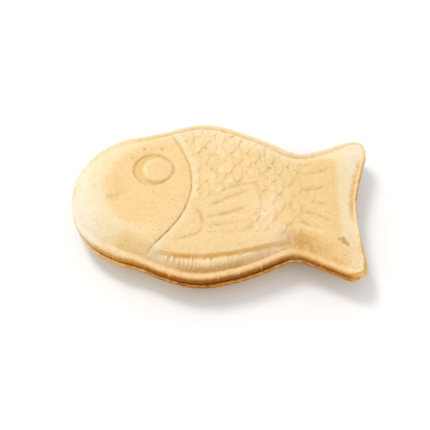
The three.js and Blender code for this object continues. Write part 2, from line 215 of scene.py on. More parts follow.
def curve(points, closed, count):
    """Centripetal Catmull-Rom curve through the points, read off at even steps of its length."""
    p = np.array(points, float)
    if closed:
        p0, p1, p2, p3 = np.roll(p, 1, 0), p, np.roll(p, -1, 0), np.roll(p, -2, 0)
    else:
        q = np.vstack([2 * p[0] - p[1], p, 2 * p[-1] - p[-2]])
        p0, p1, p2, p3 = q[:-3], q[1:-2], q[2:-1], q[3:]
    d0, d1, d2 = (
        np.sqrt(np.linalg.norm(b - a, axis=1))[:, None] for a, b in ((p0, p1), (p1, p2), (p2, p3))
    )
    leave = ((p1 - p0) / d0 - (p2 - p0) / (d0 + d1) + (p2 - p1) / d1) * d1
    arrive = ((p2 - p1) / d1 - (p3 - p1) / (d1 + d2) + (p3 - p2) / d2) * d1
    steps_between = 60
    t = np.linspace(0, 1, steps_between, endpoint=False)[None, :, None]
    a, b, c, d = p1, leave, 3 * (p2 - p1) - 2 * leave - arrive, 2 * (p1 - p2) + leave + arrive
    fine = (a[:, None] + b[:, None] * t + c[:, None] * t**2 + d[:, None] * t**3).reshape(-1, 2)
    fine = np.vstack([fine, p[:1] if closed else p[-1:]])
    return even_steps(fine, count + closed)[:count]


def even_steps(chain, count):
    """A chain of points read off again at an even step of its length, both ends kept."""
    run = np.concatenate([[0], np.cumsum(np.linalg.norm(np.diff(chain, axis=0), axis=1))])
    at = np.linspace(0, run[-1], count)
    return np.stack([np.interp(at, run, chain[:, k]) for k in (0, 1)], 1)


def nearest(chain, x, y, closed=False):
    """Distance of each (x, y) to a chain of straight steps, its sign being positive on the left
    of the chain, and the share of the chain's length at the closest place."""
    a = chain if closed else chain[:-1]
    step = (np.roll(chain, -1, 0) if closed else chain[1:]) - a
    square = (step**2).sum(1)
    flat_x, flat_y = np.ravel(x), np.ravel(y)
    found = np.empty((2, flat_x.size))
    # Some places at a time, to spare memory.
    for part in (slice(lo, lo + 4096) for lo in range(0, flat_x.size, 4096)):
        dx = flat_x[part, None] - a[:, 0]
        dy = flat_y[part, None] - a[:, 1]
        along = np.clip((dx * step[:, 0] + dy * step[:, 1]) / square, 0, 1)
        gap = np.hypot(dx - along * step[:, 0], dy - along * step[:, 1])
        best = gap.argmin(1)
        rows = np.arange(best.size)
        left = step[best, 0] * dy[rows, best] - step[best, 1] * dx[rows, best]
        found[0, part] = gap[rows, best] * np.where(left < 0, -1, 1)
        found[1, part] = (best + along[rows, best]) / len(a)
    return found[0].reshape(np.shape(x)), found[1].reshape(np.shape(x))


def is_inside(loop, x, y):
    """True where a ray towards +X crosses the closed loop an odd number of times."""
    odd = np.zeros(np.shape(x), bool)
    for (ax, ay), (bx, by) in zip(loop, np.roll(loop, 1, 0)):
        if ay != by:
            odd ^= ((ay > y) != (by > y)) & (x < (bx - ax) * (y - ay) / (by - ay) + ax)
    return odd


def drift(x, y, size, seed):
    """Smooth random heights from -1 to 1: seeded numbers on a square lattice of the given size,
    with a smooth cubic step from each number to the next."""
    wide = 97
    numbers = np.random.default_rng(seed).uniform(-1, 1, (wide, wide))
    u, v = np.asarray(x) / size + 300.5, np.asarray(y) / size + 300.5
    i, j = np.floor(u).astype(int), np.floor(v).astype(int)
    p, q = smooth(u - i, 0, 1), smooth(v - j, 0, 1)
    i, j, next_i, next_j = i % wide, j % wide, (i + 1) % wide, (j + 1) % wide
    low = lerp(numbers[i, j], numbers[next_i, j], p)
    high = lerp(numbers[i, next_j], numbers[next_i, next_j], p)
    return lerp(low, high, q)


def evened(grid, passes):
    """A grid whose inner points are each replaced by the mean of their four neighbours, again and
    again. Its border stays."""
    grid = grid.copy()
    for _ in range(passes):
        inner = grid[:-2, 1:-1] + grid[2:, 1:-1] + grid[1:-1, :-2] + grid[1:-1, 2:]
        grid[1:-1, 1:-1] = inner / 4
    return grid


outline = curve(OUTLINE, True, 900)
gill = curve(GILL, False, 90)
belly_edge = curve(BELLY_EDGE, False, 90)
fin_edge = curve(FIN_EDGE, False, 110)
fin_base = curve(FIN_BASE, False, 50)
fin_area = np.vstack([fin_edge, fin_base[::-1]])
cheek_area = np.vstack([gill[gill[:, 1] < -11], fin_base[::-1]])

# Cut lines, each with its depth, the widths of the soft valley and of the cut at its foot, and the
# cut's share. Each fades in over the first part of its length and mostly out over the last.
CUT_FADES_IN, CUT_FADES_OUT = 0.15, 0.8
CUT_LINES = [(curve(ray, False, 40), (0.62, 1.5, 0.6, 0.35)) for ray in FIN_RAYS]
CUT_LINES += [(curve(ray, False, 40), (0.42, 1.5, 0.5, 0.35)) for ray in TAIL_RAYS]
CUT_LINES += [
    (curve(MOUTH, False, 30), (0.6, 2.0, 1.0, 0.15)),
    (curve(BROW, False, 12), (0.5, 0.8, 0.5, 0.5)),
    (fin_base, (0.5, 1.3, 0.5, 0.4)),
    (fin_edge, (0.38, 1.5, 0.6, 0.3)),
]


def broad_share(y):
    """0 where the rim is the plain one, growing smoothly to 1 along the belly side."""
    return 1 - smooth(y, BROAD_FULL, BROAD_START)


def nose_share(x, y):
    """1 round the nose, where the crease is nearly filled, less on its belly side."""
    return (1 - smooth(x, NOSE_END, NOSE_START)) * lerp(1, 0.5, smooth(-y, 4, 18))


def rim_width(at_x, broad):
    """What the section's insets are multiplied by along the tail's narrow trailing edge, and the
    distance from the outline to the crease."""
    share = 1 - TRAILING_NARROWER * smooth(at_x, TRAILING_START, TRAILING_FULL)
    return share, RIM_SECTION[-1, 0] * share + RIM_SECTION[-1, 2] * broad


def rim_at(x, y):
    """How far inwards of the crease each (x, y) lies, how much of the broad rim the closest place
    on the outline has, and that place's own x."""
    gap, along = nearest(outline, x, y, True)
    at = along * len(outline)
    around = np.arange(len(outline) + 1)
    rim_x, rim_y = (np.interp(at, around, np.append(outline[:, k], outline[0, k])) for k in (0, 1))
    broad = broad_share(rim_y)
    return np.abs(gap) - rim_width(rim_x, broad)[1], broad, rim_x


def scale_edge(column, y):
    """Free edge of one column of scales at height y: a row of arcs that bulge to the tail. Also
    the distance of y from the middle of its arc."""
    stagger = 0 if column % 2 == 0 else SCALE["pitch_y"] / 2
    row = (y - SCALE["cusp"][1] - stagger) / SCALE["pitch_y"]
    from_middle = (row - np.floor(row) - 0.5) * SCALE["pitch_y"]
    flat = math.sqrt(SCALE["radius"] ** 2 - (SCALE["pitch_y"] / 2) ** 2)
    bulge = np.sqrt(SCALE["radius"] ** 2 - from_middle**2) - flat
    return SCALE["cusp"][0] + column * SCALE["pitch_x"] / 2 + bulge, from_middle


def scale_relief(x, y):
    """Overlapping scales: each column climbs evenly to its free edge, then drops smoothly to the
    next column. Also returns painted shade in the trough at the foot of the drop, which comes and
    goes."""
    wx = x + 0.65 * drift(x, y, 4.6, 11) + 0.45 * drift(x, y, 1.9, 17)
    wy = y + 0.8 * drift(x, y, 4.6, 12) + 0.45 * drift(x, y, 1.9, 18)
    columns = range(SCALE_COLUMNS[0], SCALE_COLUMNS[1] + 1)
    edges, middles = (np.stack(k) for k in zip(*(scale_edge(c, wy) for c in columns)))
    count = (wx > edges).sum(0)
    before = np.clip(count - 1, 0, len(columns) - 1)[None]
    after = np.clip(count, 0, len(columns) - 1)[None]
    low, high = (np.take_along_axis(edges, k, 0)[0] for k in (before, after))
    from_middle = np.take_along_axis(middles, before, 0)[0]
    among = (count > 0) & (count < len(columns))
    share = np.where(among, (wx - low) / np.maximum(high - low, 0.01), 0.4)
    ease = 1 - smooth(wx - low, 0, 1.4)
    rise = SCALE["rise"] * (np.minimum(share, 1) - 0.4 + ease * among)
    trough = bump(wx - low - 0.8, 0.8) * (count > 0)
    trough *= np.clip(0.55 + 0.9 * drift(x, y, 3.6, 13), 0, 1.3)
    # The painted shade is stronger on the lower half of each arc, which faces away from the lamp.
    trough *= lerp(1.25, 0.45, smooth(from_middle, -3.5, 2.5))
    # More of the trough's painted shade here and there where two arcs meet.
    pitted = np.clip(0.4 + 0.8 * drift(x, y, 5.2, 25), 0, 1) * bump(wx - low - 0.9, 1.0)
    trough += pitted * bump(np.abs(from_middle) - 5.6, 1.1) * (count > 0)
    return rise * (0.8 + 0.45 * drift(x, y, 6.0, 14)), trough


def grooves(x, y):
    """Sum of the cut lines: each is a soft valley with a narrow cut at its foot, both falling off
    with the square of the distance. Also how far down in a cut each place lies."""
    total, cut = np.zeros_like(x), np.zeros_like(x)
    for chain, (depth, valley, narrow, sharp) in CUT_LINES:
        gap, along = nearest(chain, x, y)
        fade = smooth(along, 0, CUT_FADES_IN) * (1 - smooth(along, CUT_FADES_OUT, 1.0) * 0.8)
        fade *= 0.8 + 0.45 * drift(x, y, 4.0, 15)
        notch = bump(gap, narrow) * fade
        total += depth * ((1 - sharp) * bump(gap, valley) * fade + sharp * notch)
        cut += bump(gap, lerp(narrow, valley, 0.4)) * fade * min(depth / 0.5, 0.9)
    return total, cut


def eye_relief(x, y):
    """A round hollow with a soft wall on its left and a steep one on its right, and in it a raised
    disc, slightly domed, whose edge nearly meets the hollow's right wall. Returns the painted shade
    at the foot of both walls, the moat between them, and a painted highlight on the disc's left
    edge and outside the hollow's right wall as well."""
    dx, dy = x - EYE["centre"][0], y - EYE["centre"][1]
    from_eye = np.hypot(dx, dy)
    leftness = 0.5 - 0.5 * (0.9 * dx - 0.43 * dy) / np.maximum(from_eye, 1e-6)
    hollow = 1 - smooth(from_eye, EYE["radius"] - lerp(*EYE["wall"], leftness), EYE["radius"])
    from_pupil = np.hypot(x - PUPIL["centre"][0], y - PUPIL["centre"][1])
    disc_foot = PUPIL["radius"] + 0.1
    disc = 1 - smooth(from_pupil, PUPIL["radius"] - lerp(*PUPIL["wall"], leftness), disc_foot)
    dome = np.maximum(0, 1 - (from_pupil / PUPIL["radius"]) ** 2)
    rise = PUPIL["rise"] * disc + PUPIL["dome"] * dome - EYE["sunk"] * hollow

    # The disc's foot is shaded on the right, most at the bottom, and the hollow's wall on the left.
    foot = 1.1 * bump(from_pupil - disc_foot, 0.75) * smooth(1 - leftness, 0.3, 0.9)
    foot *= 1 - 0.5 * smooth(dy, 0, 6)
    moat = smooth(from_pupil, PUPIL["radius"] - 1.2, PUPIL["radius"] + 0.6) * hollow
    ringed = smooth(leftness, 0.05, 0.5) * (1 - 0.7 * smooth(-dy, 2.5, 6.5))
    ringed *= 1 - 0.75 * smooth(dx, -6, -1) * smooth(dy, 0, 2)
    foot += 0.12 * moat + 0.75 * bump(from_eye - EYE["radius"] + 0.6, 0.6) * ringed
    # Painted highlight on the disc's left edge, which faces the lamp, and outside the hollow's
    # right wall.
    painted_highlight = bump(from_pupil - PUPIL["radius"] + 1.9, 1.2) * leftness
    rightmost = smooth(dx / np.maximum(from_eye, 1), 0.6, 1)
    painted_highlight += 0.4 * bump(from_eye - EYE["radius"] - 1.3, 1.0) * rightmost
    return rise, foot, moat, painted_highlight


def gill_relief(x, y, from_gill):
    """The gill line's cut, and the rise across it: the head rolls down to the cut, and the body
    starts behind it with a low shoulder."""
    cut = bump(from_gill, lerp(0.32, 0.46, smooth(-y, 5, 20))) * (1 - smooth(-y, 33.0, 35.5))
    cut *= lerp(0.75, 1.2, smooth(-y, -25, 5)) * (0.9 + 0.3 * drift(x, y, 2.5, 24))
    behind = np.where(from_gill > 0, 1 - bump(from_gill, 0.8), 0)
    shoulder = 0.5 * behind * bump(from_gill, 5) * (x < GILL[0][0] + 14)
    roll = 0.2 * bump(from_gill, 2.0) * (from_gill < 0)
    return cut, shoulder - roll - GILL_DEPTH * cut


def belly_relief(x, y, rise, inset, crease, top, head):
    """The belly's ledge climbs steeply from the crease, then levels out below the step, which
    drops from the field along the belly's edge. Short ribs cross the ledge in even turns of a
    cosine. Returns the rise with all this on it, and the ledge, the step's line and the ribs."""
    from_edge, down_edge = nearest(belly_edge, x, y)
    from_edge = from_edge + 0.35 * drift(x, y, 8, 16)
    along_belly = (1 - smooth(x, BELLY_END - 14, BELLY_END)) * (y < 0)
    along_belly *= lerp(1, smooth(x, -40, -27), smooth(-from_edge, -3, 0)) * (1 - head)
    across = np.clip(inset / np.maximum(inset - np.minimum(from_edge, 0), 1e-3), 0, 1)
    levelling = lerp(3.2, 2.2, smooth(x, 8, 22))
    ledge_rise = lerp(crease, top - BELLY_STEP, 1 - (1 - across) ** levelling)
    step = 0.74 * smooth(from_edge, -1.6, 0.3) + 0.26 * smooth(from_edge, -0.6, 5.0)
    rise = lerp(rise, lerp(ledge_rise, top, step), along_belly)

    ledge = along_belly * (from_edge < -1.3)
    edge_length = np.linalg.norm(np.diff(belly_edge, axis=0), axis=1).sum()
    turns = down_edge * edge_length / RIB_PITCH + 0.4 * drift(x, y, 6, 5)
    ribs = 2 * smooth(np.cos(2 * math.pi * turns), -0.6, 0.6) - 1
    rib_share = ledge * smooth(across, 0.12, 0.3) * (1 - smooth(across, 0.85, 0.98))
    rib_share *= smooth(x, -31, -24) * (1 - smooth(x, 2, 12)) * (0.65 + 0.75 * drift(x, y, 3.0, 19))
    line = along_belly * bump(from_edge + 0.8, 1.15) * smooth(x, -33, -20)
    line *= 1 - 0.25 * smooth(x, 10, 22)
    return rise + RIB_RISE * ribs * rib_share, ledge, line, ribs * rib_share


def scaled_area(x, y, inset, to_body, head):
    """1 where the body carries scales: above the belly and off the fin, the cheek and the head. It
    fades out towards the gill line, and at the back towards the crease."""
    backward = smooth(y, 5, 20)
    scaled = 1 - smooth(-y, -SCALE["lowest"] - 2, -SCALE["lowest"] + 0.5)
    scaled *= ~is_inside(fin_area, x, y) * ~is_inside(cheek_area, x, y) * (1 - head)
    off_gill = smooth(to_body, lerp(2.2, 3.5, backward), lerp(4.2, 9.0, backward))
    return scaled * (off_gill * lerp(1, smooth(inset, 2.5, 6.5), smooth(y, 0, 15)))


def moulded_face(x, y, deeper):
    """Rise of the moulded face above the mating face, inwards of the crease, and its masks.
    From the crease the slope climbs to a crowned field, which sinks towards the tail. The head is
    a soft dome, and the belly has a ledge below a step. Cut lines are taken from it, and eye,
    scales and low waves added."""
    inset, broad, rim_x = rim_at(x, y)
    from_gill = nearest(gill, x, y)[0]
    to_body = np.where(x < GILL[0][0] + 10, from_gill, np.abs(from_gill) + 1)
    head = 1 - smooth(to_body, -0.4, 0.4)
    crown = BODY_CROWN * np.maximum(0, 1 - (y / BODY_HALF_HEIGHT) ** 2)
    top = lerp(BODY_RISE + deeper + crown, TAIL_RISE, smooth(x, TAIL_START, TAIL_END))
    crease = crease_rise(x, y, broad, nose_share(x, y))

    head_width = lerp(NOSE_SLOPE_WIDTH, CHEEK_SLOPE_WIDTH, smooth(x, *NOSE_TO_CHEEK))
    body_width = lerp(SLOPE_WIDTH, TAIL_SLOPE_WIDTH, smooth(rim_x, *BODY_TO_TRAILING_EDGE))
    body_width = body_width + 3.0 * broad * smooth(rim_x, 12, 26) * (1 - smooth(rim_x, 44, 58))
    climb = np.clip(inset / lerp(body_width, head_width, head), 0, 1)
    share = lerp(0.5 * climb + 0.5 * smooth(climb, 0, 1), 1 - (1 - climb) ** 2, head)
    rise = lerp(crease, top, share)
    finer = ((len(x) - 1) / EVENED_AT) ** 2
    body, tail = (evened(rise, int(passes * finer)) for passes in EVENED_PASSES)
    rise = lerp(body, tail, smooth(x, *BODY_TO_TAIL))

    rise, ledge, step, ribs = belly_relief(x, y, rise, inset, crease, top, head)
    level, line_level = smooth(climb, 0.25, 0.8), smooth(climb, 0.0, 0.3)
    cut, notch = grooves(x, y)
    eye, eye_foot, moat, disc_highlight = eye_relief(x, y)
    scales, trough = scale_relief(x, y)
    scaled = scaled_area(x, y, inset, to_body, head)
    gill_cut, gill_rise = gill_relief(x, y, from_gill)
    rise += level * (head * eye + scaled * scales - cut)
    rise += line_level * gill_rise
    waves = 0.13 * drift(x, y, 13, 21) * level
    rise += waves + 0.05 * drift(x, y, 3.1, 22) + 0.03 * drift(x, y, 1.3, 23)

    # Painted shade in the crease along the tail's trailing edge.
    trailing_crease_shade = 0.8 * bump(inset - 0.2, 1.2) * trailing(x, y)
    # Painted shade in the cut lines, at the foot of the eye's walls and in the scales' troughs.
    shaded = level * (0.75 * notch + head * eye_foot + 0.5 * trough * scaled)
    on_scales = scaled * level * (1 - smooth(x, 29, 36))
    masks = dict(
        inset=inset, broad=broad, head=head, ledge=ledge, step=step, ribs=ribs,
        # The gill mask is painted shade in the gill line's cut.
        gill=gill_cut * line_level, lip=bump(from_gill - 2.0, 2.0) * (from_gill > 0) * (x < -8),
        hollow=np.clip(shaded + 0.5 * trailing_crease_shade, 0, 1), moat=head * moat, disc=head * disc_highlight,
        trailing_crease_shade=trailing_crease_shade, scaled=on_scales, tone=on_scales * (scales + 0.5 * drift(x, y, 2.2, 50)),
    )
    return rise, masks


def trailing(x, y):
    """1 along the middle of the tail's trailing edge, fading out towards both tips."""
    return smooth(x, 58, 64) * smooth(y, -19, -8) * (1 - smooth(y, 19, 27))


def crease_rise(x, y, broad, nose):
    """Height of the crease: higher in the broad rim, and nearly filled at the nose and one tip."""
    from_tip = np.hypot(x - FILLED_AT[0], y - FILLED_AT[1])
    filled = FILLED_RISE * bump(from_tip, FILLED_RADIUS)
    return RIM_SECTION[-1, 1] + RIM_SECTION[-1, 3] * broad + RIM_SECTION[-1, 4] * nose + filled


def patch(ring, across, up):
    """Grid over the inside of a closed ring of 2 (across + up) points. Opposite sides are blended
    straight across, less the blend of the four corners, and inner points then even out."""
    count = 2 * (across + up)
    low, high = ring[: across + 1], ring[across + up : 2 * across + up + 1][::-1]
    right = ring[across : across + up + 1]
    left = ring[np.arange(count, 2 * across + up - 1, -1) % count]
    u = np.linspace(0, 1, across + 1)[:, None, None]
    v = np.linspace(0, 1, up + 1)[None, :, None]
    grid = (1 - v) * low[:, None] + v * high[:, None] + (1 - u) * left[None] + u * right[None]
    grid -= (1 - u) * ((1 - v) * low[0] + v * high[0]) + u * ((1 - v) * low[-1] + v * high[-1])
    return evened(grid, PATCH_PASSES)


def rim_ring(across, up):
    """2 (across + up) points of the outline, the sides between the four corners read off evenly."""
    dense = curve(OUTLINE, True, DENSE)
    at = [int(np.hypot(*(dense - corner).T).argmin()) for corner in CORNERS]
    sides = []
    for k, count in enumerate((across, up, across, up)):
        start, stop = at[k], at[(k + 1) % 4]
        picked = np.arange(start, stop + (DENSE if stop < start else 0) + 1) % DENSE
        sides.append(even_steps(dense[picked], count + 1)[:-1])
    return np.vstack(sides)


def wafer_half(across, up, deeper, flat_rise, bites, ragged):
    """Points of one half, mating face at rise 0, with its faces and masks. The rim's section is
    carried round the outline, and its last station is the border of the moulded face's grid. The
    lip's edge wanders smoothly, is ragged on the broad rim, and has bites taken out of it."""
    ring = rim_ring(across, up)
    ahead, behind = np.roll(ring, -1, 0), np.roll(ring, 1, 0)
    way = (ahead - behind) / np.linalg.norm(ahead - behind, axis=1)[:, None]
    inward = np.stack([-way[:, 1], way[:, 0]], 1)
    rx, ry = ring.T
    nose = nose_share(rx, ry)
    broad = broad_share(ry)
    worn = sum(amount * drift(rx, ry, size, seed) for amount, size, seed in LIP_WANDER)
    worn += 0.25 * np.maximum(0, drift(rx, ry, 1.1, 34)) * smooth(rx, 60, 66)
    worn += ragged * drift(rx, ry, 1.5, 36) * broad
    for place, depth, width in bites:
        bitten = depth * bump(np.hypot(rx - place[0], ry - place[1]), width)
        worn += bitten * (1 + 0.5 * drift(rx, ry, 0.9, 35))
    flash = np.zeros(len(ring))
    for place in FLASH:
        at = ring[np.hypot(rx - place[0], ry - place[1]).argmin()]
        flash += bump(np.hypot(rx - at[0], ry - at[1]), FLASH_WIDTH)
    gap = 1.0 + 0.4 * drift(rx, ry, 9, 33)

    narrower, to_crease = rim_width(rx, broad)
    crease = ring + inward * to_crease[:, None]
    grid = patch(crease, across, up)
    x, y = grid[..., 0], grid[..., 1]
    rise, masks = moulded_face(x, y, deeper)
    grid_points = np.stack([x, y, np.minimum(rise, flat_rise)], -1).reshape(-1, 3)

    number = np.arange(rise.size).reshape(rise.shape)
    sides = [number[:-1, 0], number[-1, :-1], number[:0:-1, -1], number[0, :0:-1]]
    around = np.concatenate(sides)
    crease_inset, crease_height, _, crease_taller, crease_at_nose = RIM_SECTION[-1]
    filled = crease_rise(*crease.T, 0, 0)
    stations = []
    for k, (inset, height, broader, taller, at_nose) in enumerate(RIM_SECTION[:-1]):
        wear = worn * (1 - inset / crease_inset) * (inset < crease_inset)
        reach = inset * narrower + broader * broad + wear
        on_wall = (1 - smooth(height, *WALL_TOP)) * (k >= SEAM_STATIONS - 1)
        reach = reach - FLASH_DEPTH * flash * on_wall
        lift = height * (gap if k < SEAM_STATIONS else 1) + taller * broad + at_nose * nose
        lift = lift + smooth(inset, 1.3, 3.0) * (k > SEAM_STATIONS) * (filled - crease_height)
        stations.append(np.column_stack([ring + inward * reach[:, None], lift]))
    # The border takes the section's last station, so the two meet.
    grid_points[around, 2] = filled + crease_taller * broad + crease_at_nose * nose
    points = np.vstack([grid_points] + stations)

    cells = [number[:-1, :-1], number[1:, :-1], number[1:, 1:], number[:-1, 1:]]
    quads = [np.stack(cells, -1).reshape(-1, 4)]
    loops = [rise.size + k * len(ring) + np.arange(len(ring)) for k in range(len(stations))]
    for outer, inner in zip(loops, loops[1:] + [around]):
        quads.append(np.stack([outer, np.roll(outer, -1), np.roll(inner, -1), inner], 1))

    off_rim, off_grid = np.zeros(rise.size), np.zeros(len(points) - rise.size)
    spread = {name: np.concatenate([mask.ravel(), off_grid]) for name, mask in masks.items()}
    spread["rim"] = np.arange(len(points)) >= rise.size
    spread["broad"][rise.size :] = np.tile(broad, len(stations))
    spread["flash"] = np.concatenate([off_rim, np.tile(flash, len(stations))])
    spread["tuck"] = np.concatenate([off_rim, np.repeat(RIM_SECTION[:-1, 0], len(ring))])
    return points, np.vstack(quads), loops[0][::-1], spread


# Browning and painted shade of the outer wall, at its foot and at its top, and the heights it
# changes between. The painted shade darkens the wall most at its foot.
WALL_BROWNING_AND_SHADE, WALL_SPAN = (2.35, 0.45), (1.7, 4.5)
# Places of the baked marks and of some painted light and shade, each as a centre and two half
# widths.
NEAR_TIP, FAR_TIP = ((67, -42), (4.5, 4.5)), ((68, 30), (9, 9))
GOLDEN_CHEEK, GOLDEN_JAW = ((-52, 6), (5, 10)), ((-46, -29.5), (8, 4.5))
TAIL_ROOT_STAIN_AND_SHADE, TAIL_ROOT_EDGE = ((38.5, -28.0), (8.5, 5.5)), ((47, -31), (7, 3.5))
RUBBED_SCALES, LEDGE_PAINTED_LIGHT, RUBBED_RIM = (
    ((22, -14), (6, 10)), ((24, -27.5), (7, 5)), ((26, -33), (5, 3))
)
RUBBED_JAW, RUBBED_BACK = ((-38, -23), (5.5, 3.5)), ((-2, 30), (12, 5))


def spot(x, y, centre, half_widths):
    """1 at the centre, falling off with the square of the distance over the two half widths."""
    return bump(np.hypot((x - centre[0]) / half_widths[0], (y - centre[1]) / half_widths[1]), 1)


def patchy(x, y, share, size, seed):
    """1, made uneven by a share of smooth random heights."""
    return 1 + share * drift(x, y, size, seed)


def toasting(x, y, masks):
    """-1 on floury spots, 0 on the rim and the slopes, 1 on the golden field and 2 where it is
    browned. The field's border wanders with smooth random heights."""
    rim, broad, inset, head, ledge = (masks[k] for k in ("rim", "broad", "inset", "head", "ledge"))
    wander = drift(x, y, 9, 41) + 0.5 * drift(x, y, 3.5, 42)

    # The head's field lies further in towards the nose, and reaches the rim under the jaw.
    noseward = smooth(-x, 34, 62)
    head_toast = smooth(inset + 1.3 * wander, lerp(5.0, 10.0, noseward), lerp(13.0, 21.0, noseward))
    head_toast *= 1 - 0.55 * smooth(y, 12, 24) * smooth(x, -36, -26)
    head_toast += (1 - head_toast) * 0.8 * smooth(-y, 19, 28) * smooth(x, -56, -47)
    # The body's field nearly reaches the belly, and stops short of the back.
    backward = smooth(y, 0, 20)
    body_toast = smooth(inset + 1.2 * wander, lerp(1.5, 3.5, backward), lerp(9.5, 12.5, backward))

    # The tail's field ends before the trailing edge.
    upward = smooth(-x, -64, -52)
    tail_in = np.minimum(inset, 65.0 - x + 4.0 * smooth(-y, 20, 34)) + 0.8 * wander
    tail_toast = smooth(tail_in, lerp(4.0, 0.5, upward), lerp(15.0, 6.0, upward))
    near_rim = 0.85 * broad * smooth(inset, -1, 1.5) * (1 - smooth(x, 59, 67))
    tail_toast = np.maximum(tail_toast, near_rim)
    trunk_toast = lerp(body_toast, tail_toast, smooth(x, 34, 48))
    trunk_toast = np.maximum(trunk_toast, 0.9 * (1 - smooth(y, -30, -22)) * (x < 34))
    toast = np.where(rim, 0.1, lerp(trunk_toast, head_toast, head))

    # Ribs and the lip behind the gill line are paler, the disc's lit edges carry a painted
    # highlight, and the moat is golden.
    ledge_paler = lerp(0.45, -0.5, smooth(x, 2, 16)) - 0.2 * (x < -24) + 0.5 * masks["ribs"]
    toast = toast - ledge * ledge_paler
    toast = toast - 0.5 * masks["lip"] * ~rim + 0.8 * masks["moat"] - 1.1 * masks["disc"]
    toast = toast - 0.15 * ~rim * (1 - head) * (1 - smooth(x, 26, 40))
    toast = toast + 0.38 * smooth(x, 30, 44) * tail_toast

    # The nose and the tail's border are floury. Along the trailing edge, which faces away from the
    # lamp, part of this paleness is painted light.
    floury_and_lightened = smooth(-x, 56, 74) + 0.4 * smooth(-x, 46, 66) * smooth(-y, 4, 18)
    floury_and_lightened = floury_and_lightened + 0.5 * spot(x, y, *FAR_TIP) + 0.32 * smooth(x, 58, 66)
    floury_and_lightened = floury_and_lightened * np.where(rim & (x > 50), 0.35, 1.0)
    toast = toast - floury_and_lightened * (1 - np.clip(toast, 0, 1))
    toast = toast + 0.3 * spot(x, y, *GOLDEN_CHEEK) * head + 0.7 * masks["tone"]
    toast = toast + 0.5 * spot(x, y, *GOLDEN_JAW) * head
    # The top of the head is a little more golden: partly toasting, partly painted shade that tones
    # down the lamp's highlight there.
    return toast + 0.45 * smooth(y, 12, 22) * head * smooth(x, -60, -45)


def dusting_and_lightening(x, y, masks, shaded_fold, belly, outer):
    """Whitish rubbed patches: on the body's lower scales, the belly's ledge and the bead below it,
    on the head's underside and on the back. On the ledge they are also painted light, more towards
    the tail and on the slope before the brown spot at the tail's root, where it faces away from the
    lamp."""
    rim, face = masks["rim"], ~masks["rim"]
    dust_and_painted_light = spot(x, y, *RUBBED_SCALES) * patchy(x, y, 0.7, 2.2, 44) * face
    # Painted light: the ledge is lightened more towards the tail, where it faces away from the
    # lamp.
    lighter_tailward = 1 + 1.7 * smooth(x, 4, 16)
    dust_and_painted_light = dust_and_painted_light + 0.75 * masks["ledge"] * patchy(x, y, 0.5, 2.2, 45) * lighter_tailward
    # Painted light on the slope before the tail's root, which faces away from the lamp.
    dust_and_painted_light = dust_and_painted_light + 0.5 * spot(x, y, *LEDGE_PAINTED_LIGHT) * patchy(x, y, 0.5, 1.8, 54)
    dust_and_painted_light = dust_and_painted_light * (1 - np.minimum(shaded_fold, 1)) * (1 - 0.6 * masks["step"])
    dust_and_painted_light = dust_and_painted_light + 0.6 * rim * smooth(outer, 3.2, 4.2) * belly * patchy(x, y, 0.8, 1.4, 55)
    dust_and_painted_light = dust_and_painted_light + masks["scaled"] * np.clip(1.3 * drift(x, y, 3.2, 49) - 0.1, 0, 1)
    dust_and_painted_light = dust_and_painted_light + 0.8 * spot(x, y, *RUBBED_JAW) * face
    dust_and_painted_light = dust_and_painted_light + 0.7 * spot(x, y, *RUBBED_BACK) * face
    crest = bump(y + 19.2 + 0.32 * (x - 39.8), 1.0) * smooth(x, 35, 40) * (1 - smooth(x, 48, 53))
    dust_and_painted_light = dust_and_painted_light + 0.9 * crest * patchy(x, y, 0.6, 1.6, 47) * face
    return dust_and_painted_light + 0.6 * spot(x, y, *RUBBED_RIM) * patchy(x, y, 0.7, 1.6, 48) * face


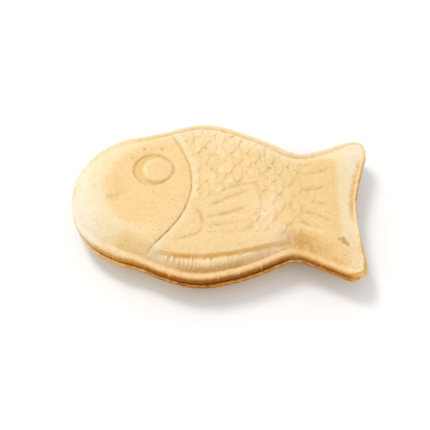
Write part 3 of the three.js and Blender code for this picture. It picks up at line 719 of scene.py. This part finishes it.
def bake(points, masks, open_lip, pale_tip):
    """How each point is coloured, by masks. toast: as toasting gives it. amber: the side wall's
    browning, with painted shade that darkens it towards its foot and on the belly side; the browned
    step; and painted shade in the trailing edge's crease and on the tail's near slope. seam:
    painted shade inside the gap between the halves. hollow: painted shade in the cut lines, at the
    eye's walls, in the scales' troughs and along the crease of the back. gill: painted shade in the
    gill line's cut,
    and the dark specks. fold: painted shade with some tanning in the creases. stain: the brown spot
    at the tail's root, a baked mark with painted shade in its notch. dust: the whitish rubbed
    patches, and painted light on the ledge where it faces away from the lamp. crust: the rough
    browned rim at the tail's near tip, partly painted light. The mating face shows its baked colour
    as far in as open_lip and the gap's painted shade further in, and the near tip's wall pales by
    pale_tip."""
    x, y, rise = points.T
    rim, broad, inset, tuck = (masks[k] for k in ("rim", "broad", "inset", "tuck"))
    # Height up the outer wall. The bead's inner side counts as its top.
    outer = np.where((tuck > 1.2) & (rise > 2.5), 5.0, rise)
    belly = broad * smooth(x, -32, -14) * (1 - 0.45 * smooth(x, 6, 16))
    belly = belly * (1 - 0.6 * smooth(x, 18, 28))
    # Painted shade in the trailing edge's crease, and on the inner side of its rim.
    trailing_crease_shade = masks["trailing_crease_shade"] + rim * smooth(tuck, 1.9, 2.8) * trailing(x, y)
    # Painted shade, with some tanning, in the crease on the belly side, on the bead's inner side
    # and in the trailing edge's crease.
    shaded_fold = np.where(rim, smooth(tuck, 1.7, 2.8), bump(inset - 0.6, 1.9)) * 1.05 * belly
    shaded_fold = shaded_fold + 0.3 * trailing_crease_shade

    # Browning with painted shade: the side wall is darker on the belly side, which faces away from
    # the lamp, and towards its foot.
    tanned_and_shaded = (0.3 + 0.7 * broad) * lerp(0.5, 1.0, smooth(x, -54, -20))
    tanned_and_shaded = tanned_and_shaded * (1 - pale_tip * smooth(x, 60, 66)) * (1 - 0.15 * smooth(x, 0, 20))
    on_wall = tanned_and_shaded * lerp(*WALL_BROWNING_AND_SHADE, smooth(outer, *WALL_SPAN))
    amber = np.where(rim, on_wall, 0.75 * masks["step"])
    # Painted shade in the trailing edge's crease and on its rim.
    amber = amber + 0.5 * trailing_crease_shade + 0.25 * rim * trailing(x, y)
    # Painted shade on the tail's near slope, which faces away from the lamp.
    shaded_near_slope = broad * ~rim * bump(inset, 5.0) * smooth(x, 30, 42) * (1 - smooth(x, 56, 62))
    amber = amber + 0.35 * shaded_near_slope
    amber = amber - 0.5 * masks["flash"] * (rise > 0.8) * (rise < 3.6)
    amber = amber + 0.3 * drift(x, y, 0.9, 56) * rim * smooth(4.0 - outer, 0, 1) * tanned_and_shaded
    # The lower half's wall carries less of the painted shade at its lip.
    near_lip = rim * smooth(1.9 - rise, 0, 0.8) * (1 - smooth(tuck, 0.3, 0.8)) * (open_lip > 0.5)
    amber = amber * (1 - 0.45 * near_lip * patchy(x, y, 0.6, 1.4, 52))

    # The rough browned crust at the near tip, partly painted light: its wall gets a lighter orange
    # than its shade would show.
    at_tip = spot(x, y, *NEAR_TIP)
    crust_and_painted_light = 0.95 + 0.4 * drift(x, y, 1.2, 43) + 0.3 * drift(x, y, 0.6, 46)
    crust_and_painted_light = crust_and_painted_light * (1 - 0.7 * max(pale_tip, 0))
    lit_tip_amber = 0.5 * crust_and_painted_light * smooth(4.7 - outer, 0, 0.8)
    amber = lerp(amber, lit_tip_amber, np.minimum(1.4 * at_tip, 1) * rim)
    crust_and_painted_light = crust_and_painted_light * smooth(4.9 - outer, 0, 0.8) * np.minimum(1.3 * at_tip, 1) * rim
    crust_and_painted_light = crust_and_painted_light * (1 - max(pale_tip, 0))

    lit_tip = smooth(x, 62, 66) * smooth(y, -46, -40) * (1 - smooth(y, -14, -4))
    # Painted shade: inwards of the lip, the mating face in the gap between the halves is painted
    # dark brown, less where the near tip is lit.
    seam_shade = rim * (rise < 0.9) * smooth(tuck, open_lip - 0.3, open_lip + 0.3)
    seam_shade = seam_shade * (1 - np.maximum(at_tip, lit_tip)) * lerp(0.6, 1, smooth(x, -48, -22))
    # A baked stain at the tail's root, with painted shade in the notch where the slopes meet.
    stain_and_shade = 1.3 * spot(x, y, *TAIL_ROOT_STAIN_AND_SHADE) * (1 - 0.3 * rim)
    stain_and_shade = stain_and_shade + 0.45 * spot(x, y, *TAIL_ROOT_EDGE) * ~rim
    # Painted shade along the crease of the back.
    back_crease_shade = np.where(rim, smooth(tuck, 2.0, 2.8), bump(inset - 0.1, 0.9))
    back_crease_shade = back_crease_shade * smooth(y, 8, 20) * smooth(x, -45, 5) * (1 - smooth(x, 46, 58))
    hollow = masks["hollow"] + 0.5 * back_crease_shade * patchy(x, y, 0.4, 3, 53)
    # Painted shade in the gill line's cut, and dark specks baked into the face.
    gill_shade_and_specks = masks["gill"]
    for place, radius in SPECKS:
        gill_shade_and_specks = gill_shade_and_specks + 1.8 * spot(x, y, place, (radius, radius)) * ~rim
    return dict(
        toast=toasting(x, y, masks), amber=amber, seam_shade=seam_shade, hollow=np.minimum(hollow, 1),
        gill=np.minimum(gill_shade_and_specks, 1.3), shaded_fold=shaded_fold, stain_and_shade=stain_and_shade, crust_and_painted_light=crust_and_painted_light,
        dust_and_painted_light=dusting_and_lightening(x, y, masks, shaded_fold, belly, outer),
    )


def piece_from(name, points, quads, caps, masks, material):
    """A mesh object from points in millimetres, with one number for each point under each mask.
    The caps are flat faces of many corners that close it."""
    mesh = bpy.data.meshes.new(name)
    faces = quads.tolist() + [cap.tolist() for cap in caps]
    mesh.from_pydata((points * METRES).tolist(), [], faces)
    smooth_faces = np.arange(len(faces)) < len(quads)
    mesh.polygons.foreach_set("use_smooth", smooth_faces)
    for mask, values in masks.items():
        layer = mesh.attributes.new(mask, "FLOAT", "POINT")
        layer.data.foreach_set("value", np.clip(values, -1, 2).astype(np.float32))
    mesh.materials.append(material)
    mesh.update()
    thing = bpy.data.objects.new(name, mesh)
    scene.collection.objects.link(thing)
    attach(thing, "root")
    return thing


# Colours of the wafer, from floury over toasted to browned, then those of the marks on it, among
# them painted shade and painted light.
FLOUR = (0.83, 0.73, 0.565, 1)
PALE = (0.81, 0.645, 0.395, 1)
GOLDEN = (0.79, 0.555, 0.262, 1)
TOASTED = (0.75, 0.475, 0.16, 1)
AMBER = (0.75, 0.425, 0.125, 1)
RUSSET = (0.60, 0.245, 0.03, 1)
# Browned wall with the painted shade at its foot, and also painted shade in the gap.
BROWNED_AND_SHADED = (0.32, 0.095, 0.006, 1)
# Painted shade inside the gap between the halves.
GAP_SHADE = (0.17, 0.06, 0.006, 1)
# Painted shade in cut lines, creases and troughs and at the eye's walls, and also the colour of the
# pores.
SHADED = (0.56, 0.375, 0.15, 1)
# Painted shade in the gill line's cut, and the colour of dark specks.
GILL_LINE = (0.42, 0.27, 0.07, 1)
# Colour of the stain at the tail's root and of the painted shade in the creases.
STAIN_AND_SHADE = (0.61, 0.345, 0.10, 1)
# Colour of the rubbed patches and of the painted light on the ledge.
DUSTY = (0.97, 0.71, 0.49, 1)
# Browned crust at the near tip, lightened as painted light.
LIT_CRUST = (0.90, 0.43, 0.05, 1)


def crisp_wafer(name):
    """Matt dry wafer. Colours are mixed one over another by the masks, each broken up by noise,
    then speckled. Fine pores and sparse pits are bump."""
    material = bpy.data.materials.new(name)
    material.use_nodes = True
    tree = material.node_tree
    shader = tree.nodes["Principled BSDF"]
    shader.inputs["Roughness"].default_value = 0.75
    shader.inputs["Specular IOR Level"].default_value = 0.2
    where = tree.nodes.new("ShaderNodeTexCoord").outputs["Object"]

    def feed(value, socket, constant):
        """Sets a socket to a constant of the given types, or links an output to it."""
        if isinstance(value, constant):
            socket.default_value = value
        else:
            tree.links.new(value, socket)

    def noise(scale, detail=2.0):
        n = tree.nodes.new("ShaderNodeTexNoise")
        n.inputs["Scale"].default_value, n.inputs["Detail"].default_value = scale, detail
        tree.links.new(where, n.inputs["Vector"])
        return n.outputs["Fac"]

    def math_node(operation, a, b):
        n = tree.nodes.new("ShaderNodeMath")
        n.operation = operation
        for socket, value in zip(n.inputs, (a, b)):
            feed(value, socket, (int, float))
        return n.outputs[0]

    def plus(a, b):
        return math_node("ADD", a, b)

    def times(a, b):
        return math_node("MULTIPLY", a, b)

    def ramp(value, low, high):
        n = tree.nodes.new("ShaderNodeMapRange")
        n.interpolation_type = "SMOOTHSTEP"
        tree.links.new(value, n.inputs["Value"])
        n.inputs["From Min"].default_value, n.inputs["From Max"].default_value = low, high
        return n.outputs["Result"]

    def over(share, under, colour):
        n = tree.nodes.new("ShaderNodeMix")
        n.data_type = "RGBA"
        tree.links.new(share, n.inputs["Factor"])
        a, b = [s for s in n.inputs if s.type == "RGBA"]
        feed(under, a, tuple)
        feed(colour, b, tuple)
        return [s for s in n.outputs if s.type == "RGBA"][0]

    def mask(label):
        n = tree.nodes.new("ShaderNodeAttribute")
        n.attribute_name = label
        return n.outputs["Fac"]

    # Noises, by their features in each metre: blotches, the sheet's grain and its pores.
    broad, middle, fine = noise(110), noise(430, 3.0), noise(1250, 2.0)
    mottle = plus(times(plus(broad, -0.5), 0.5), times(plus(middle, -0.5), 0.8))
    toast = plus(mask("toast"), mottle)
    colour = over(ramp(toast, -1.0, 0.0), FLOUR, PALE)
    colour = over(ramp(toast, 0.0, 1.0), colour, GOLDEN)
    colour = over(times(ramp(toast, 0.9, 2.0), 0.8), colour, TOASTED)
    amber = plus(mask("amber"), mottle)
    colour = over(ramp(amber, 0.0, 0.75), colour, AMBER)
    colour = over(ramp(amber, 0.6, 1.3), colour, RUSSET)
    colour = over(ramp(amber, 1.25, 1.95), colour, BROWNED_AND_SHADED)

    # Painted shade in the cut lines, at the eye's walls, in the scales' troughs and in the creases
    # of the back and the trailing edge.
    colour = over(times(mask("hollow"), ramp(middle, 0.1, 0.6)), colour, SHADED)
    # Painted shade in the creases, with some tanning.
    colour = over(times(mask("shaded_fold"), ramp(middle, 0.0, 0.6)), colour, STAIN_AND_SHADE)
    # Painted shade in the gill line's cut, and the dark specks.
    colour = over(times(mask("gill"), 0.7), colour, GILL_LINE)
    grainy = plus(middle, times(fine, 0.6))
    # The brown spot at the tail's root: a baked stain with painted shade in its notch.
    colour = over(times(mask("stain_and_shade"), ramp(grainy, 0.25, 1.1)), colour, STAIN_AND_SHADE)
    # Whitish rubbed patches, and painted light on the shaded ledge.
    colour = over(times(mask("dust_and_painted_light"), times(ramp(grainy, 0.4, 1.2), 0.75)), colour, DUSTY)
    # Browned crust at the near tip, partly painted light.
    colour = over(times(mask("crust_and_painted_light"), ramp(grainy, 0.55, 0.95)), colour, LIT_CRUST)

    # Pores and pale flecks show less where the wafer is browned and where shade is painted on it.
    unbrowned_unshaded = ramp(plus(amber, mask("stain_and_shade")), 0.9, 0.1)
    pored = times(ramp(fine, 0.5, 0.78), plus(times(unbrowned_unshaded, 0.26), 0.1))
    colour = over(pored, colour, SHADED)
    flecks = times(ramp(noise(1500, 1.0), 0.5, 0.78), plus(times(unbrowned_unshaded, 0.36), 0.06))
    colour = over(flecks, colour, FLOUR)
    specks = times(ramp(noise(900, 0.0), 0.74, 0.8), ramp(toast, 0.2, 0.9))
    colour = over(times(specks, 0.5), colour, GILL_LINE)
    # Painted shade inside the gap between the halves, darkest deepest in.
    colour = over(mask("seam_shade"), colour, BROWNED_AND_SHADED)
    colour = over(ramp(mask("seam_shade"), 0.6, 1.0), colour, GAP_SHADE)
    tree.links.new(colour, shader.inputs["Base Color"])

    pits = tree.nodes.new("ShaderNodeTexVoronoi")
    pits.inputs["Scale"].default_value = 900
    tree.links.new(where, pits.inputs["Vector"])
    pit_floor = ramp(pits.outputs["Distance"], 0.0, 0.35)
    grain = tree.nodes.new("ShaderNodeBump")
    grain.inputs["Strength"].default_value = 0.6
    grain.inputs["Distance"].default_value = 0.0004
    height = plus(times(noise(1100, 3.0), 0.8), times(pit_floor, 0.35))
    tree.links.new(height, grain.inputs["Height"])
    tree.links.new(grain.outputs["Normal"], shader.inputs["Normal"])
    return material


wafer = crisp_wafer("crisp_wafer")
points, quads, cap, masks = wafer_half(
    across=380, up=200, deeper=0.0, flat_rise=np.inf, bites=BITES, ragged=0.05
)
placed = points + (*PAIR_OFFSET, SEAM_Z)
baked = bake(points, masks, open_lip=0.3, pale_tip=-0.1)
upper_wafer = piece_from("upper_wafer", placed, quads, [cap], baked, wafer)
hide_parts("wafer_top")


# ---- Crumbs -----------------------------------------------------------------------------------
# Crumbs of the brittle rim that broke off in handling and lie on the shell, stuck in its pores.
# Each is a rough lump nearly half sunk in the face below it.

# How high a crumb's middle stands above the face, as a share of its height.
CRUMB_LIFT = 0.15
CRUMBS = [
    # place on the part, and size along, across and up
    (-66.0, -24.6, 1.3, 1.0, 0.9), (36.6, -28.9, 0.7, 1.7, 0.8), (35.2, -26.4, 0.8, 0.6, 0.5),
    (41.6, -28.0, 0.7, 0.9, 0.5), (32.4, -29.4, 0.9, 0.7, 0.5), (8.2, -43.6, 1.0, 0.8, 0.8),
    (67.4, -25.4, 0.8, 1.2, 0.8), (70.2, 9.8, 0.7, 1.0, 0.7), (66.0, -39.6, 1.4, 1.1, 0.9),
    (63.2, -43.0, 1.2, 0.9, 0.8), (67.2, -36.8, 1.0, 1.3, 0.8), (44.6, -30.6, 0.7, 0.5, 0.4),
    (-19.4, -40.8, 0.8, 0.6, 0.5), (28.2, -31.4, 0.8, 0.6, 0.5), (68.0, -2.4, 0.6, 0.9, 0.6),
]
CRUMB_SIDES, CRUMB_RINGS = 14, 7
CRUMB_WAVES = (0.18, 0.15)
FIRST_CRUMB_SEED = 60


def crumb_lump(centre, size, seed):
    """A sphere of latitude and longitude steps, cut flat at both poles and scaled to the size, its
    radius varied smoothly by seeded waves along both angles."""
    turn = np.linspace(0, 2 * math.pi, CRUMB_SIDES, endpoint=False)[:, None]
    lift = np.linspace(math.pi, 0, CRUMB_RINGS + 2)[None, 1:-1]
    a, b, c = np.random.default_rng(seed).uniform(0, 6, 3)
    waves = CRUMB_WAVES[0] * np.sin(3 * turn + a)
    waves = waves + CRUMB_WAVES[1] * np.sin(2 * lift + 2 * turn + b)
    radius = 0.5 * (1 + waves * np.sin(lift))
    across, along = np.sin(lift) * np.cos(turn + c), np.sin(lift) * np.sin(turn + c)
    sphere = np.stack([across, along, np.cos(lift) + 0 * turn], -1)
    return (sphere * radius[..., None] * size + centre).reshape(-1, 3)


number = np.arange(CRUMB_SIDES * CRUMB_RINGS).reshape(CRUMB_SIDES, CRUMB_RINGS)
ahead = np.roll(number, -1, 0)
cells = [number[:, :-1], ahead[:, :-1], ahead[:, 1:], number[:, 1:]]
one_crumb = np.stack(cells, -1).reshape(-1, 4)
# Only the upper face carries crumbs, and not the low part of its rim.
top = placed[placed[:, 2] > SEAM_Z + 2.5]
lumps, lump_quads, lump_caps = [], [], []
for k, (at_x, at_y, *extent) in enumerate(CRUMBS):
    under = top[np.hypot(top[:, 0] - at_x, top[:, 1] - at_y).argmin()]
    centre = under + (0, 0, CRUMB_LIFT * extent[2])
    lumps.append(crumb_lump(centre, np.array(extent), FIRST_CRUMB_SEED + k))
    lump_quads.append(one_crumb + k * number.size)
    lump_caps += [number[::-1, 0] + k * number.size, number[:, -1] + k * number.size]
lumps = np.vstack(lumps)
browning = 0.25 + 0.3 * drift(lumps[:, 0], lumps[:, 1], 4, 51)
lump_masks = dict(toast=np.full(len(lumps), 0.1), amber=browning)
crumbs = piece_from("crumbs", lumps, np.vstack(lump_quads), lump_caps, lump_masks, wafer)


# ---- Lower wafer ------------------------------------------------------------------------------
# The other half comes from the same plates, moulded face down and a little deeper. It sits
# slightly askew under the upper one, and its raised field is pressed level where it rests.
REST_RISE = 12.0
LOWER_DEEPER = 0.9
LOWER_TURN = math.radians(0.9)
LOWER_SHIFT = (0.9, -0.9)
# As for the upper half. The last one stands out instead.
LOWER_BITES = [((67.0, -43.6), 2.2, 0.9), ((65.6, -45.2), 0.9, 1.2), ((68.9, -41.2), -0.7, 0.7)]

points, quads, cap, masks = wafer_half(
    across=300, up=160, deeper=LOWER_DEEPER, flat_rise=REST_RISE, bites=LOWER_BITES, ragged=0.22
)
turned_x = points[:, 0] * math.cos(LOWER_TURN) - points[:, 1] * math.sin(LOWER_TURN)
turned_y = points[:, 0] * math.sin(LOWER_TURN) + points[:, 1] * math.cos(LOWER_TURN)
placed = np.column_stack([turned_x, turned_y, SEAM_Z - points[:, 2]])
placed[:, :2] += np.add(PAIR_OFFSET, LOWER_SHIFT)
baked = bake(points, masks, open_lip=0.8, pale_tip=0.85)
lower_wafer = piece_from("lower_wafer", placed, quads[:, ::-1], [cap[::-1]], baked, wafer)
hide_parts("wafer_bottom")
